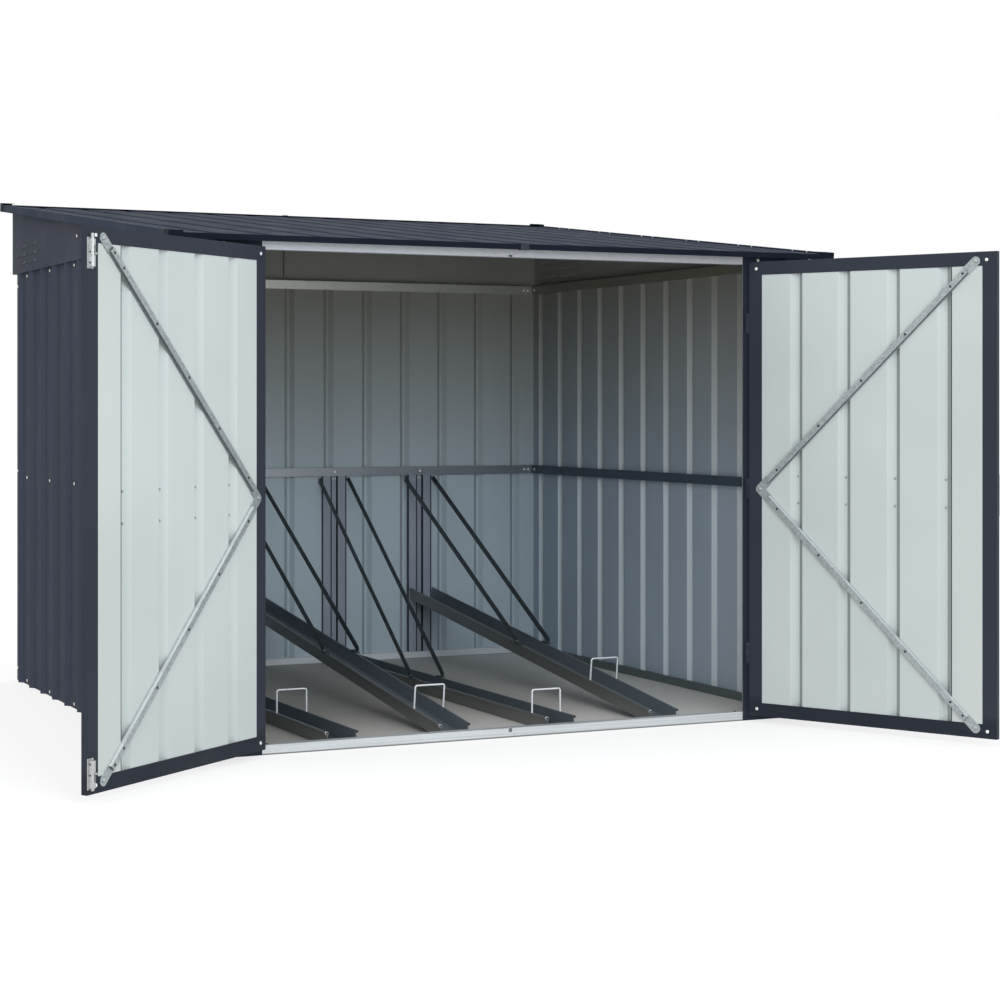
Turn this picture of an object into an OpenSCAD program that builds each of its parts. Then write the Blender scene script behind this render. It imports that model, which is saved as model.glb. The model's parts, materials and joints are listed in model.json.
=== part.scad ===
// Sheet-metal bike shelter with a pent roof, two hinged doors and four wheel channels.
// Frame: X to the right seen from the front, Y from the front to the back, Z up.
// The origin is on the ground at the middle of the footprint.

/* [Body] */
// Width over the flat faces of the side walls
body_w = 1830; // [1400:10:2400]
// Depth from the front sheets to the flat face of the back wall
body_d = 1662; // [1300:10:2200]
// Height of the wall sheets
wall_h = 1286; // [1000:2:1600]
// Width of the front sheets beside the doorway
front_panel_w = 215; // [150:1:320]
// Height of the lintel, below the top of the wall sheets
lintel_h = 33; // [28:1:60]
// Thickness of the wall, door and roof sheets
sheet_t = 1.2; // [0.8:0.1:2]

/* [Ribs] */
// Distance between ribs
rib_pitch = 140; // [110:1:180]
// Width of a rib at its foot
rib_base = 36; // [24:1:50]
// Width of a rib at its crest
rib_top = 8; // [6:1:20]
// Height of a rib
rib_h = 12; // [6:0.5:12]
// Radius of the bends of a rib
rib_bend = 2; // [1:0.5:4]

/* [Rails] */
// Height of the mid and top rails
rail_h = 28; // [20:1:40]
// Depth of the rails inwards from the wall sheets
rail_d = 15; // [10:1:25]
// Thickness of the rail sheet
rail_t = 1.5; // [1:0.1:3]
// Top of the mid rails above the ground
mid_rail_z = 656; // [500:1:800]
// Height of the floor rails and the threshold
sill_h = 24.5; // [18:0.5:30]
// Depth of the threshold, the lintel and the jambs
jamb_d = 28; // [22:1:40]
// Width of a jamb behind the front sheet
jamb_w = 40; // [30:1:60]
// Distance from the doorway to the web of a jamb
jamb_set = 19; // [10:1:24]
// Leg of the corner angles
angle_leg = 28; // [20:1:34]

/* [Roof] */
// Reach of the roof beyond the side walls
roof_side = 44; // [36:1:90]
// Reach of the roof ahead of the front sheets
roof_front = 58; // [50:1:110]
// Reach of the roof behind the back wall
roof_back = 44; // [40:1:100]
// Gap between the side walls and the roof above them, at the front
roof_clear = 3.5; // [2:0.5:12]
// Pitch of the roof, rising to the back
roof_angle = 6.9; // [4:0.02:10]
// Height of the side and rear trims
side_trim_h = 22; // [20:1:40]
// How far the side and rear trims rise above the roof
trim_rise = 4; // [3:0.5:6]
// Width of the folded flanges of the trims
trim_flange = 18; // [10:1:24]

/* [Vents] */
// Length of a pressed vent
vent_l = 118; // [60:1:130]
// Height of a pressed vent
vent_h = 14; // [8:1:18]
// How far a vent stands out of the gable
vent_out = 2.5; // [2:0.5:8]
// Distance from the back of the gable to the vents
vent_back = 38; // [30:1:200]

/* [Doors] */
// Lap of a leaf over the threshold and the lintel
door_lap = 4; // [2:0.5:8]
// Thickness of a leaf
leaf_t = 16; // [15.6:0.2:22]
// Width of the stiles
stile_w = 38; // [30:1:60]
// Width of the top and bottom rails of a leaf
leaf_rail_w = 36; // [28:1:60]
// Left leaf, opened from shut
left_open = 143.4; // [100:0.1:160]
// Right leaf, opened from shut
right_open = 118.5; // [100:0.1:160]
// Height of the outside band
band_h = 104; // [70:1:140]

/* [Racks] */
// Distance between wheel channels
rack_pitch = 314; // [240:2:400]
// Width of a wheel channel
channel_w = 80; // [60:1:100]
// Height of a wheel channel
channel_h = 38; // [25:1:50]
// Width of the lips along a channel
channel_lip = 5; // [3:0.5:8]
// Rise of the raised channels
rack_angle = 7.3; // [4:0.1:10]
// Distance from the front sheets to a channel's front end
rack_front = 40; // [34:1:80]
// Width of the uprights behind the channels
upright_w = 84; // [60:1:84]
// Height of a wheel hoop
hoop_h = 62; // [40:1:90]
// Thickness of the hoop wire
wire_d = 5; // [4:0.5:8]

/* [Hidden] */
$fn = 32;
hx = body_w / 2;
hy = body_d / 2;
in_x = hx - sheet_t;
in_y = hy - sheet_t;
open_x = hx - front_panel_w;
lintel_z = wall_h - lintel_h;
fit = 0.2;
flank = [[-rib_base / 2, 0], [-rib_top / 2, rib_h], [rib_top / 2, rib_h], [rib_base / 2, 0]];
// Ribs of the back wall and the roof run from the middle outwards, those of the side walls straddle it.
back_n = floor((hx - rib_base / 2 - angle_leg) / rib_pitch);
back_ribs = [for (i = [-back_n:back_n]) i * rib_pitch];
side_n = floor((hy - rib_base / 2 - 22 + rib_pitch / 2) / rib_pitch);
side_ribs = [for (i = [-side_n:side_n - 1]) (i + 0.5) * rib_pitch];
front_rib = hx - front_panel_w * 0.35;
// Roof
slope = tan(roof_angle);
roof_w = body_w + 2 * roof_side;
eave_z = wall_h + roof_clear + sheet_t / cos(roof_angle) - roof_front * slope;
roof_len = (body_d + roof_front + roof_back) / cos(roof_angle);
crest = hx + rib_h;
back_crest = hy + rib_h;
front_top = under_groove(-back_crest);
gable_t = 1.2;
gable_z = wall_h - 8;
seam_flange = 10;
seam_x = -16;
trim_t = 1.4;
trim_drop = side_trim_h - trim_rise;
front_trim_h = rib_h + sheet_t + trim_t + 2 * fit;
cap_leg = 36;
cap_top = trim_rise + fit + trim_t;
rear_cap_lift = 3.5;
joiner_w = 24;
rear_joiner_w = 14;
vent_pitch = vent_h + 11;
vent_gap = 20;
vent_z = gable_z + 26;
// Doors
door_z0 = sill_h - door_lap;
door_z1 = lintel_z + door_lap;
closed_gap = 5;
hinge_off = closed_gap + leaf_t + 1;
edge_off = 6;
hinge_x = open_x + 11;
hinge_y = -hy - hinge_off;
leaf_w = hinge_x - edge_off - 3;
leaf_h = door_z1 - door_z0;
leaf_in = leaf_t + 1;
leaf_mid = (door_z0 + door_z1) / 2;
lip_t = 1;
door_n = floor((leaf_w / 2 - stile_w - rib_base / 2) / rib_pitch + 0.5);
door_ribs = [for (i = [-door_n:door_n - 1]) -edge_off - leaf_w / 2 + (i + 0.5) * rib_pitch];
pin_r = 2.4;
knuckle_r = 4.5;
knuckle_h = 56;
hinge_z = [leaf_mid - leaf_h * 0.366, leaf_mid, leaf_mid + leaf_h * 0.366];
brace_w = 24;
brace_t = 1.5;
brace_tab = 36;
spine_w = 15;
spine_h = 7;
brace_holes = 5;
brace_end_x = -edge_off - leaf_w + 56;
brace_hinge_x = -edge_off - 33;
brace_rise = leaf_h / 2 - 24;
bolt_w = 20;
bolt_h = 68;
bolt_x = bolt_w / 2 - edge_off - leaf_w;
bolt_out = 7;
bolt_r = 4;
bolt_stroke = 16;
bolt_end = 8.5;
grip_r = 2.5;
grip_at = 32;
bolt_top = lintel_z - 21;
bolt_bottom = sill_h + 8;
keep_x = -hinge_x - bolt_x;
keep_y = hinge_y + leaf_in + bolt_out;
keep_r = bolt_r + 1.5;
keep_z = bolt_bottom - 3 - bolt_stroke;
keep_top = bolt_top + bolt_end + bolt_stroke + 1.5;
// Racks
floor_t = 1.5;
rack_x = [for (i = [-1.5:1:1.5]) i * rack_pitch];
rack_up = [0, rack_angle, 0, rack_angle];
rack_len = body_d - sheet_t - rail_d - rack_front - 1;
hoop_at = [0.2236, 0.102, 0.0525, 0.2096];
strut_foot = [0.536, 0.493, 0.536, 0.487];
strut_w = 18;
strut_t = 3;
upright_top = mid_rail_z - rail_h - fit;

// Points round the bend at b between a and c, which touches both lines as far from b as the radius asks.
function bend(a, b, c, radius) =
  let (u = (a - b) / norm(a - b), v = (c - b) / norm(c - b))
  let (reach = radius / tan(acos(u * v) / 2))
  [for (i = [0:3]) let (s = i / 3) b + reach * ((1 - s) * (1 - s) * u + s * s * v)];

// Outline of a ribbed sheet along one axis, ribs towards the second.
function rib_line(at, from, to) =
  let (o = concat([[from, 0]], [for (c = at, p = flank) [c + p[0], p[1]]], [[to, 0]]))
  let (n = len(o) - 1)
  concat([o[0]], [for (i = [1:n - 1], p = bend(o[i - 1], o[i], o[i + 1], rib_bend)) p], [o[n]]);
function sheet_line(at, from, to) = let (o = rib_line(at, from, to))
  concat(o, [for (i = [len(o) - 1:-1:0]) [o[i][0], o[i][1] - sheet_t]]);

// Height of the roof's underside at a depth, beside its grooves and under them.
function under_roof(y) = eave_z + (y + hy + roof_front) * slope - sheet_t / cos(roof_angle) - fit;
function under_groove(y) = under_roof(y) - rib_h / cos(roof_angle);

module upright_sheet(pts, z0, z1) {
  translate([0, 0, z0])
    linear_extrude(z1 - z0) polygon(pts);
}

// A block from one corner to the other.
module span(a, b) {
  translate(a) cube(b - a);
}

// An open channel along X, its web towards -Y, its back at y = 0.
module rail(x0, x1, z0, h, d) {
  difference() {
    span([x0, -d, z0], [x1, 0, z0 + h]);
    span([x0 - 1, rail_t - d, z0 + rail_t], [x1 + 1, 1, z0 + h - rail_t]);
  }
}

module back_rail(z0, h) {
  translate([0, in_y, 0]) rail(-in_x, in_x, z0, h, rail_d);
}

module right_rail(z0, h) {
  translate([in_x, 0, 0])
    rotate([0, 0, -90]) rail(rail_d - in_y, in_y, z0, h, rail_d);
}

module left_rail(z0, h) {
  mirror([1, 0, 0]) right_rail(z0, h);
}

// Turns and lifts its contents from the flat into the roof's plane, starting at the front edge.
module on_roof() {
  translate([0, -hy - roof_front, eave_z])
    rotate([roof_angle, 0, 0]) children();
}

// The right leaf is drawn shut, with the hinge axis as its Z axis.
module on_right() {
  translate([hinge_x, hinge_y, 0])
    rotate([0, 0, right_open]) children();
}

module on_left() {
  mirror([1, 0, 0])
    translate([hinge_x, hinge_y, 0])
      rotate([0, 0, left_open]) children();
}

// Floor

module front_threshold() {
  color("silver")
    difference() {
      span([-open_x, -hy, 0], [open_x, -hy + jamb_d, sill_h]);
      span([-open_x - 1, -hy + rail_t, -1], [open_x + 1, -hy + jamb_d - rail_t, sill_h - rail_t]);
      span([-fit, -hy - 1, -1], [fit, -hy + jamb_d + 1, sill_h + 1]);
      translate([keep_x, keep_y, keep_z]) cylinder(r = keep_r, h = sill_h);
    }
}

module rear_floor_rail() {
  color("silver") back_rail(0, sill_h);
}

module left_floor_rail() {
  color("silver") left_rail(0, sill_h);
}

module right_floor_rail() {
  color("silver") right_rail(0, sill_h);
}

module floor_panel() {
  edge = in_x - rail_d - fit;
  color("tan")
    span([-edge, -hy + jamb_d + fit, 0], [edge, in_y - rail_d - fit, floor_t]);
}

// Front

// Folded behind the front sheet, with its web set back from the doorway.
module front_right_jamb() {
  front = -in_y;
  back = -hy + jamb_d;
  web = open_x + jamb_set;
  edge = open_x + jamb_w;
  color("dimgray")
    difference() {
      span([open_x, front, 0], [edge, back, front_top]);
      span([open_x - 1, front + rail_t, -1], [web, back + 1, front_top + 1]);
      span([web + rail_t, front + rail_t, -1], [edge + 1, back - rail_t, front_top + 1]);
    }
}

module front_left_jamb() {
  mirror([1, 0, 0]) front_right_jamb();
}

module front_right_panel() {
  color("dimgray")
    upright_sheet([for (p = sheet_line([front_rib], open_x, hx)) [p[0], -hy - p[1]]], 0, front_top);
}

module front_left_panel() {
  mirror([1, 0, 0]) front_right_panel();
}

// Angles over the four corners, outside the sheets.
module corner_angle() {
  color("dimgray")
    difference() {
      span([hx - angle_leg, hy - angle_leg, 0], [hx + gable_t, hy + gable_t, gable_z]);
      span([0, 0, -1], [hx, hy, gable_z + 1]);
    }
}

module corner_angles() {
  corner_angle();
  mirror([1, 0, 0]) corner_angle();
  mirror([0, 1, 0]) corner_angle();
  rotate([0, 0, 180]) corner_angle();
}

module front_lintel() {
  color("silver")
    difference() {
      span([-open_x, -hy, lintel_z], [open_x, -hy + jamb_d, front_top]);
      span([-open_x - 1, -hy + rail_t, lintel_z + rail_t],
        [open_x + 1, -hy + jamb_d - rail_t, front_top + 1]);
      translate([keep_x, keep_y, lintel_z - 1]) cylinder(r = keep_r, h = keep_top - lintel_z + 1);
    }
}

// Walls

module right_wall() {
  color("dimgray")
    upright_sheet([for (p = sheet_line(side_ribs, -in_y, in_y)) [hx + p[1], p[0]]], 0, wall_h);
}

module left_wall() {
  color("dimgray")
    upright_sheet([for (p = sheet_line(side_ribs, -in_y, in_y)) [-hx - p[1], p[0]]], 0, wall_h);
}

module back_wall() {
  color("dimgray")
    upright_sheet([for (p = sheet_line(back_ribs, -hx, hx)) [p[0], hy + p[1]]], 0, wall_h);
}

module left_mid_rail() {
  color("silver") left_rail(mid_rail_z - rail_h, rail_h);
}

module right_mid_rail() {
  color("silver") right_rail(mid_rail_z - rail_h, rail_h);
}

module back_mid_rail() {
  color("silver") back_rail(mid_rail_z - rail_h, rail_h);
}

module left_top_rail() {
  color("silver") left_rail(lintel_z, rail_h);
}

module right_top_rail() {
  color("silver") right_rail(lintel_z, rail_h);
}

module back_top_rail() {
  color("silver") back_rail(lintel_z, rail_h);
}

// Panels between the walls and the roof

// A wedge that hangs from its top edge and is open below, with its length along Y.
module wedge(out, h, l) {
  translate([0, l, 0])
    rotate([90, 0, 0])
      linear_extrude(l) polygon([[0, 0], [out, 0], [out * 0.7, h * 0.45], [0, h]]);
}

// Moves its contents to each vent of the right gable: two columns of three.
module at_vents() {
  last = back_crest - vent_back - vent_l;
  for (column = [0, 1], row = [0:2])
    translate([crest, last - column * (vent_l + vent_gap), vent_z + row * vent_pitch]) children();
}

module right_gable() {
  top = under_roof(back_crest);
  color("dimgray")
    difference() {
      union() {
        translate([crest, 0, 0])
          rotate([90, 0, 90])
            linear_extrude(gable_t)
              polygon([[-hy, gable_z], [back_crest, gable_z], [back_crest, top], [-hy, under_roof(-hy)]]);
        at_vents() wedge(vent_out + gable_t, vent_h, vent_l);
      }
      at_vents()
        translate([-1, gable_t, -0.1]) wedge(vent_out + 1, vent_h - gable_t, vent_l - 2 * gable_t);
    }
}

module left_gable() {
  mirror([1, 0, 0]) right_gable();
}

// Two halves that meet near the middle, each with a seam flange folded inwards above the wall.
module back_top_panels() {
  side = crest + gable_t;
  top = under_groove(back_crest);
  color("dimgray")
    difference() {
      union() {
        span([-side, back_crest, gable_z], [side, back_crest + gable_t, top]);
        span([seam_x - gable_t, back_crest - seam_flange, wall_h + 1],
          [seam_x + gable_t, back_crest, top - seam_flange * slope]);
      }
      span([seam_x - fit, back_crest - seam_flange - 1, gable_z - 1],
        [seam_x + fit, back_crest + gable_t + 1, top + 1]);
    }
}

// Roof

// The roof's pressings are grooves, so that its flats lie level with the trims.
module roof_sheet() {
  side = roof_w / 2 - trim_t;
  color("dimgray")
    on_roof()
      translate([0, roof_len - trim_t, 0])
        rotate([90, 0, 0])
          linear_extrude(roof_len - 2 * trim_t)
            polygon([for (p = sheet_line(back_ribs, -side, side)) [p[0], -p[1] - sheet_t]]);
}

module roof_front_trim() {
  side = roof_w / 2;
  color("dimgray")
    on_roof()
      difference() {
        span([-side, 0, -front_trim_h], [side, trim_flange, 0]);
        span([-side - 1, trim_t, trim_t - front_trim_h], [side + 1, trim_flange + 1, 1]);
        span([-fit, -1, -front_trim_h - 1], [fit, trim_flange + 1, 1]);
      }
}

module roof_rear_trim() {
  side = roof_w / 2;
  color("dimgray")
    on_roof()
      translate([0, roof_len, 0])
        difference() {
          span([-side, -trim_flange, -trim_drop], [side, 0, trim_rise]);
          span([-side - 1, -trim_flange - 1, trim_t - trim_drop], [side + 1, -trim_t, 0]);
          span([-side - 1, trim_t - trim_flange, -1], [side + 1, -trim_t, trim_rise - trim_t]);
          span([-fit, -trim_flange - 1, -trim_drop - 1], [fit, 1, trim_rise + 1]);
        }
}

// Clips over the joints of the front and rear trims, from below the trim up to a height.
module trim_joiner(w, h, top) {
  half = w / 2;
  color("dimgray")
    difference() {
      span([-half, -fit - trim_t, -h - fit - trim_t], [half, trim_flange - 4, top]);
      span([-half - 1, -fit, -h - fit], [half + 1, trim_flange, top > 0 ? top - trim_t : 1]);
    }
}

module trim_joiners() {
  on_roof() {
    trim_joiner(joiner_w, front_trim_h, 0);
    translate([0, roof_len, 0]) mirror([0, 1, 0]) trim_joiner(rear_joiner_w, trim_drop, cap_top);
  }
}

// Folded over the edge of the sheet, with a rim that stands on the roof.
module roof_right_trim() {
  side = roof_w / 2;
  color("dimgray")
    on_roof()
      difference() {
        span([side - trim_flange, trim_flange + fit, -trim_drop],
          [side, roof_len - trim_flange - fit, trim_rise]);
        span([0, 0, trim_t - trim_drop], [side - trim_t, roof_len, 0]);
        span([side - trim_flange + trim_t, 0, -1], [side - trim_t, roof_len, trim_rise - trim_t]);
      }
}

module roof_left_trim() {
  mirror([1, 0, 0]) roof_right_trim();
}

// A cap over a corner of the roof, outside the trims.
module corner_cap(top) {
  side = roof_w / 2;
  color("dimgray")
    difference() {
      span([side - cap_leg, -trim_t, -trim_drop], [side + trim_t, cap_leg, top]);
      span([0, 0, -trim_drop - 1], [side, cap_leg + 1, top - trim_t]);
    }
}

module roof_corner_caps() {
  on_roof() {
    corner_cap(cap_top);
    mirror([1, 0, 0]) corner_cap(cap_top);
    translate([0, roof_len, 0]) {
      mirror([0, 1, 0]) corner_cap(cap_top + rear_cap_lift);
      rotate([0, 0, 180]) corner_cap(cap_top + rear_cap_lift);
    }
  }
}

// Racks

// Moves its contents to the front end of a channel, at the channel's slope.
module on_rack(i) {
  translate([rack_x[i], rack_front - hy, floor_t + fit])
    rotate([rack_up[i], 0, 0]) children();
}

// Length of a channel that ends short of the uprights.
function channel_len(i) = (rack_len - channel_h * sin(rack_up[i])) / cos(rack_up[i]) - 1;

// One side of a channel's section: the outer face, a lip rolled outwards, and the inner face.
function channel_side() =
  let (half = channel_w / 2, r = channel_lip / 1.5)
  concat([[half, 0]], [for (a = [-120:30:90]) [half + r / 2 + r * cos(a), channel_h - r + r * sin(a)]],
    [[half - rail_t, channel_h], [half - rail_t, rail_t]]);

module rack_channel(i) {
  side = channel_side();
  color("gray")
    on_rack(i)
      translate([0, channel_len(i), 0])
        rotate([90, 0, 0])
          linear_extrude(channel_len(i))
            polygon(concat(side, [for (k = [len(side) - 1:-1:0]) [-side[k][0], side[k][1]]]));
}

module rack_channel_1() {
  rack_channel(0);
}

module rack_channel_2() {
  rack_channel(1);
}

module rack_channel_3() {
  rack_channel(2);
}

module rack_channel_4() {
  rack_channel(3);
}

// A folded upright with a groove down its middle, on the back wall behind a channel.
module rack_uprights() {
  half = upright_w / 2;
  mouth = 11;
  bed = 8;
  deep = -rail_d / 3;
  outer = [[half, 0], [half, -rail_d], [mouth, -rail_d], [bed, deep]];
  inner = [[bed + rail_t, deep + rail_t], [mouth + rail_t, rail_t - rail_d], [half - rail_t, rail_t - rail_d],
    [half - rail_t, 0]];
  color("gray")
    for (x = rack_x)
      translate([x, in_y, sill_h + fit])
        linear_extrude(upright_top - sill_h - fit)
          polygon(concat([for (p = outer) [-p[0], p[1]]], [for (i = [3:-1:0]) outer[i]],
            [for (i = [3:-1:0]) inner[i]], [for (p = inner) [-p[0], p[1]]]));
}

// A flat bar from a tab on a channel's lip up to a boss on its upright.
module strut(i, side) {
  along = rack_len * strut_foot[i];
  lip = channel_h + strut_w / 2 + 0.8;
  foot_y = rack_front - hy + along * cos(rack_up[i]) - lip * sin(rack_up[i]);
  foot_z = floor_t + fit + along * sin(rack_up[i]) + lip * cos(rack_up[i]);
  top_y = in_y - rail_d / 2;
  top_z = upright_top - 12;
  reach = sqrt(pow(top_y - foot_y, 2) + pow(top_z - foot_z, 2));
  lift = atan2(top_z - foot_z, top_y - foot_y);
  inner = channel_w / 2 + channel_lip + 6;
  edge = channel_w / 2 - rail_t;
  color("gray")
    mirror([side > 0 ? 0 : 1, 0, 0]) {
      translate([0, foot_y, foot_z])
        rotate([lift, 0, 0])
          rotate([0, 90, 0]) {
            translate([-strut_w / 2, 0, inner]) cube([strut_w, reach, strut_t]);
            translate([0, 0, inner]) cylinder(d = strut_w, h = strut_t);
            translate([0, reach, upright_w / 2]) cylinder(d = 10, h = inner + strut_t - upright_w / 2);
          }
      translate([0, rack_front - hy, floor_t + fit])
        rotate([rack_up[i], 0, 0])
          span([edge, along - strut_w, channel_h], [inner + strut_t, along + strut_w, channel_h + strut_t]);
    }
}

module rack_struts() {
  for (i = [0:3], side = [-1, 1])
    translate([rack_x[i], 0, 0]) strut(i, side);
}

// A wire hoop that stands on a channel's lips.
module wheel_hoops() {
  leg = channel_w / 2 + channel_lip / 2;
  r = wire_d / 2;
  corner = 6;
  color("white")
    for (i = [0:3])
      on_rack(i)
        translate([0, channel_len(i) * hoop_at[i], channel_h]) {
          for (side = [0, 1])
            mirror([side, 0, 0]) {
              translate([leg, 0, 0]) cylinder(r = r, h = hoop_h - corner);
              translate([leg - corner, 0, hoop_h - corner])
                rotate([90, 0, 0]) rotate_extrude(angle = 90) translate([corner, 0]) circle(r = r);
            }
          translate([corner - leg, 0, hoop_h]) rotate([0, 90, 0]) cylinder(r = r, h = 2 * (leg - corner));
        }
}

// Hinges

// Fixed half: a plate on the front sheet, an arm out to the axis, two knuckles and the pin.
module hinge_bracket() {
  cut = knuckle_h / 3 + 1;
  color("dimgray") {
    difference() {
      union() {
        span([-1, 0, -knuckle_h / 2], [3, hinge_off, knuckle_h / 2]);
        span([-1, hinge_off - 2, -knuckle_h / 2], [30, hinge_off, knuckle_h / 2]);
        cylinder(r = knuckle_r, h = knuckle_h, center = true);
      }
      cylinder(r = knuckle_r + 1.5, h = cut, center = true);
    }
    cylinder(r = pin_r, h = knuckle_h, center = true);
  }
}

module right_hinge_brackets() {
  for (z = hinge_z)
    translate([hinge_x, hinge_y, z]) hinge_bracket();
}

module left_hinge_brackets() {
  mirror([1, 0, 0]) right_hinge_brackets();
}

// Moving half: a plate on the leaf's outer face with the middle knuckle.
module hinge_leaves() {
  mid = knuckle_h / 3 - 1;
  color("dimgray")
    for (z = hinge_z)
      translate([0, 0, z])
        difference() {
          union() {
            cylinder(r = knuckle_r, h = mid, center = true);
            span([-10, -1, -mid / 2], [0, 1, mid / 2]);
            span([-32, -1, -knuckle_h / 2], [-8, 1, knuckle_h / 2]);
          }
          cylinder(r = pin_r + 0.1, h = mid + 1, center = true);
        }
}

module left_hinge_leaves() {
  on_left() hinge_leaves();
}

module right_hinge_leaves() {
  on_right() hinge_leaves();
}

// Doors

// A folded channel around the leaf, open towards the sheet.
module leaf_frame() {
  x0 = -edge_off - leaf_w;
  x1 = -edge_off;
  color("dimgray")
    difference() {
      span([x0, 1, door_z0], [x1, leaf_in, door_z1]);
      span([x0 + lip_t, 1 + lip_t, door_z0 + lip_t], [x1 - lip_t, leaf_in - lip_t, door_z1 - lip_t]);
      span([x0 + stile_w, 0, door_z0 + leaf_rail_w], [x1 - stile_w, leaf_in + 1, door_z1 - leaf_rail_w]);
    }
}

module leaf_sheet() {
  x0 = -edge_off - leaf_w + lip_t + fit;
  x1 = -edge_off - lip_t - fit;
  flat = leaf_in - lip_t - fit - sheet_t;
  color("white")
    upright_sheet([for (p = sheet_line(door_ribs, x0, x1)) [p[0], flat - p[1]]],
      door_z0 + lip_t + fit, door_z1 - lip_t - fit);
}

// Section of a brace between its ends: a strip with a raised spine.
function brace_line() =
  let (foot = brace_w / 2 - 2, half = spine_w / 2)
  let (o = [[-foot, 0], [-half - 1, 0], [-half, spine_h], [half, spine_h], [half + 1, 0], [foot, 0]])
  concat([for (p = o) p + [0, brace_t]], [for (i = [len(o) - 1:-1:0]) o[i]]);

// One brace: flat ends with a round tip, a spine between them and holes for its screws.
module brace(up) {
  run = brace_hinge_x - brace_end_x;
  rise = brace_rise;
  reach = sqrt(run * run + rise * rise);
  first = brace_tab + 54;
  last = reach - brace_tab - 40;
  holes = [for (i = [0:brace_holes - 1]) first + (last - first) * i / (brace_holes - 1)];
  color("silver")
    translate([brace_end_x, leaf_in, leaf_mid + up * brace_rise])
      rotate([0, up * atan2(rise, run), 0])
        rotate([-90, 0, 0])
          difference() {
            union() {
              for (x = [0, reach])
                translate([x, 0, 0]) cylinder(d = brace_w, h = brace_t);
              for (x = [0, reach - brace_tab])
                translate([x, -brace_w / 2, 0]) cube([brace_tab, brace_w, brace_t]);
              translate([brace_tab - 2, 0, 0])
                rotate([90, 0, 90]) linear_extrude(reach - 2 * brace_tab + 4) polygon(brace_line());
            }
            for (x = concat([brace_tab + 8], holes))
              translate([x, 0, -1]) cylinder(d = 6, h = spine_h + brace_t + 2);
          }
}

// The flat ends of the two braces meet on the hinge stile.
module leaf_braces() {
  brace(1);
  brace(-1);
}

module leaf_band() {
  color("dimgray")
    span([-edge_off - leaf_w, -0.5, leaf_mid - band_h / 2], [-edge_off - 30, 1, leaf_mid + band_h / 2]);
}

module left_door_frame() {
  on_left() leaf_frame();
}

module left_door_sheet() {
  on_left() leaf_sheet();
}

module left_door_braces() {
  on_left() leaf_braces();
}

module left_door_band() {
  on_left() leaf_band();
}

module left_door_knob() {
  color("silver")
    on_left()
      translate([-edge_off - leaf_w + 42, -0.5, leaf_mid])
        rotate([90, 0, 0])
          rotate_extrude()
            polygon([[0, 0], [9, 0], [9, 2], [5.5, 4], [5.5, 14], [11, 18], [11, 23], [8.5, 26], [0, 27]]);
}

module right_door_frame() {
  on_right() leaf_frame();
}

module right_door_sheet() {
  on_right() leaf_sheet();
}

module right_door_braces() {
  on_right() leaf_braces();
}

module right_door_band() {
  on_right() leaf_band();
}

// Slide bolts on the left leaf

// Moves its contents to the top bolt, or turned over to the bottom bolt where up is -1.
module at_bolt(up) {
  on_left()
    translate([bolt_x, leaf_in, up > 0 ? bolt_top - bolt_h : bolt_bottom + bolt_h])
      mirror([0, 0, up > 0 ? 0 : 1]) children();
}

// A plate with a housing that a rod slides in, slotted for the rod's grip.
module bolt_guide() {
  half = bolt_r + 3;
  color("silver")
    difference() {
      union() {
        span([-bolt_w / 2, 0, 0], [bolt_w / 2, 2, bolt_h]);
        span([-half, 1, 4], [half, bolt_out, bolt_h - 4]);
        translate([0, bolt_out, 4]) cylinder(r = half, h = bolt_h - 8);
      }
      translate([0, bolt_out, -1]) cylinder(r = bolt_r + 0.4, h = bolt_h + 2);
      span([-grip_r - 0.5, bolt_out, grip_at - grip_r - 0.5],
        [grip_r + 0.5, bolt_out + half + 1, grip_at + bolt_stroke + grip_r + 0.5]);
    }
}

module bolt_guides() {
  at_bolt(1) bolt_guide();
  at_bolt(-1) bolt_guide();
}

module bolt_rod(end) {
  color("silver")
    translate([0, bolt_out, 0]) {
      translate([0, 0, 6]) cylinder(r = bolt_r, h = bolt_h + end - 6);
      translate([0, 0, grip_at]) rotate([-90, 0, 0]) cylinder(r = grip_r, h = bolt_r + 8);
    }
}

module top_bolt() {
  at_bolt(1) bolt_rod(bolt_end);
}

module bottom_bolt() {
  at_bolt(-1) bolt_rod(2);
}

front_threshold();
rear_floor_rail();
left_floor_rail();
right_floor_rail();
floor_panel();
front_left_jamb();
front_right_jamb();
front_left_panel();
front_right_panel();
corner_angles();
left_wall();
right_wall();
back_wall();
left_mid_rail();
right_mid_rail();
back_mid_rail();
left_top_rail();
right_top_rail();
back_top_rail();
front_lintel();
left_gable();
right_gable();
back_top_panels();
roof_sheet();
roof_front_trim();
roof_rear_trim();
roof_left_trim();
roof_right_trim();
roof_corner_caps();
trim_joiners();
rack_channel_1();
rack_channel_2();
rack_channel_3();
rack_channel_4();
rack_uprights();
rack_struts();
wheel_hoops();
left_hinge_brackets();
right_hinge_brackets();
left_door_frame();
left_door_sheet();
left_door_braces();
left_door_band();
left_hinge_leaves();
left_door_knob();
bolt_guides();
top_bolt();
bottom_bolt();
right_door_frame();
right_door_sheet();
right_door_braces();
right_door_band();
right_hinge_leaves();
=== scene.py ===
# %% [markdown]
# # A sheet-metal bike shelter
# The shelter is a small store of pressed sheet: ribbed walls, a pent roof, two doors and four wheel
# channels. Its solids come ready made, at their real size in metres. This lesson adds what a solid lacks:
# the paint, the zinc, the screws that hold the sheets, the seams, and the light that it is seen in.

# %% Load the shelter
import json
from math import cos, radians, sin, tan

import bmesh
import bpy
from mathutils import Matrix, Vector


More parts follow.
